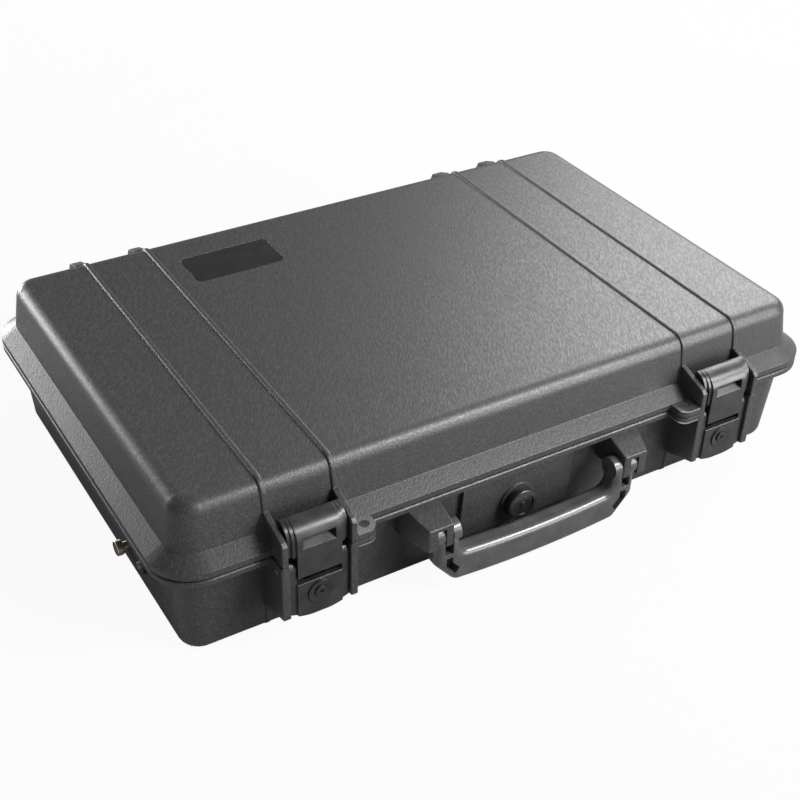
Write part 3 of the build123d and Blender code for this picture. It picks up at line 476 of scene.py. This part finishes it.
def soft_light(name, place, aim, width, height, power):
    """A rectangular soft light at place, facing aim."""
    bpy.ops.object.select_all(action="DESELECT")
    bpy.ops.object.light_add(type="AREA", location=place)
    lamp = bpy.context.active_object
    lamp.name = name
    lamp.data.shape = "RECTANGLE"
    lamp.data.size = width
    lamp.data.size_y = height
    lamp.data.energy = power
    lamp.rotation_euler = (Vector(aim) - Vector(place)).to_track_quat("-Z", "Y").to_euler()
    return lamp


class CASE_OT_stage(bpy.types.Operator):
    """Lays the pale floor, lights the case and places the camera."""
    bl_idname = "case.stage"
    bl_label = "Studio"

    def execute(self, context):
        settings = context.scene.case_studio
        bpy.ops.object.select_all(action="DESELECT")
        bpy.ops.mesh.primitive_plane_add(size=settings.floor_size, location=(0.0, 0.0, CAD_BOX[0].z))
        floor = settle(context.active_object, "studio_floor")
        # matt grey-painted board: even, and nearly all white to the camera, so only a faint shadow shows
        material, tree, output, place = new_material("matt_painted_board")
        fleck = add(tree, "ShaderNodeTexNoise", {"Scale": 3.0, "Detail": 2.0}, {"Vector": place})
        pale = two_colours(tree, fleck.outputs["Fac"], "#b2b2b2", settings.floor_colour)
        board = add(tree, "ShaderNodeBsdfDiffuse", {"Roughness": 1.0}, {"Color": pale.outputs["Color"]})
        glow = add(tree, "ShaderNodeEmission", {"Color": WHITE, "Strength": 1.0})
        path = add(tree, "ShaderNodeLightPath")
        share = add(tree, "ShaderNodeMath", {1: GLOW_SHARE}, {0: path.outputs["Is Camera Ray"]},
                    operation="MULTIPLY")
        mix = add(tree, "ShaderNodeMixShader", links={0: share.outputs["Value"], 1: board.outputs["BSDF"],
                                                      2: glow.outputs["Emission"]})
        tree.links.new(mix.outputs["Shader"], output.inputs["Surface"])
        floor.data.materials.append(material)

        world = bpy.data.worlds.new("studio_air")
        context.scene.world = world
        world.use_nodes = True
        tree = world.node_tree
        tree.nodes.clear()
        path = add(tree, "ShaderNodeLightPath")
        air = add(tree, "ShaderNodeBackground", {"Color": WHITE, "Strength": settings.air})
        seen = add(tree, "ShaderNodeBackground", {"Color": WHITE, "Strength": 1.0})
        mix = add(tree, "ShaderNodeMixShader",
                  links={0: path.outputs["Is Camera Ray"], 1: air.outputs["Background"],
                         2: seen.outputs["Background"]})
        add(tree, "ShaderNodeOutputWorld", links={"Surface": mix.outputs["Shader"]})

        for lamp in LAMPS:
            soft_light(*lamp)

        turned, raised = settings.azimuth, settings.elevation
        back = Vector((math.sin(turned) * math.cos(raised), -math.cos(turned) * math.cos(raised),
                       math.sin(raised)))
        right = (-back).cross(Vector((0.0, 0.0, 1.0))).normalized()
        down = (-back).cross(right)
        across = math.cos(settings.roll) * right + math.sin(settings.roll) * down
        below = -math.sin(settings.roll) * right + math.cos(settings.roll) * down
        bpy.ops.object.select_all(action="DESELECT")
        bpy.ops.object.camera_add()
        camera = context.active_object
        camera.name = "studio_camera"
        turn = Matrix((across, -below, back)).transposed().to_4x4()
        camera.matrix_world = Matrix.Translation(Vector(settings.target) + back * settings.distance) @ turn
        camera.data.lens = settings.lens
        camera.data.sensor_width = 36.0
        camera.data.clip_start = 0.01
        context.scene.camera = camera
        context.scene.view_settings.view_transform = "Standard"
        return {"FINISHED"}


STEPS = (CASE_OT_shells, CASE_OT_latches, CASE_OT_handle, CASE_OT_valve, CASE_OT_fittings,
         CASE_OT_foam_finish, CASE_OT_base_foam, CASE_OT_lid_foam, CASE_OT_stage)
GROUPS = {"case_shell": ShellSettings, "case_foam": FoamSettings, "case_studio": StudioSettings}


class CASE_PT_panel(bpy.types.Panel):
    """Lists the steps that dress the case, with their settings."""
    bl_idname = "CASE_PT_panel"
    bl_label = "Hard Case"
    bl_space_type = "VIEW_3D"
    bl_region_type = "UI"
    bl_category = "Hard Case"

    def draw(self, context):
        for name, group in GROUPS.items():
            box = self.layout.box()
            for field in group.__annotations__:
                box.prop(getattr(context.scene, name), field)
        for step in STEPS:
            self.layout.operator(step.bl_idname)


def register():
    for cls in (*GROUPS.values(), *STEPS, CASE_PT_panel):
        bpy.utils.register_class(cls)
    for name, group in GROUPS.items():
        setattr(bpy.types.Scene, name, PointerProperty(type=group))


def unregister():
    for name in GROUPS:
        delattr(bpy.types.Scene, name)
    for cls in reversed((*GROUPS.values(), *STEPS, CASE_PT_panel)):
        bpy.utils.unregister_class(cls)


def main():
    register()
    bpy.ops.case.shells()
    bpy.ops.case.latches()
    bpy.ops.case.handle()
    bpy.ops.case.valve()
    bpy.ops.case.fittings()
    bpy.ops.case.foam_finish()
    bpy.ops.case.base_foam()
    bpy.ops.case.lid_foam()
    bpy.ops.case.stage()


if __name__ == "__main__":
    main()
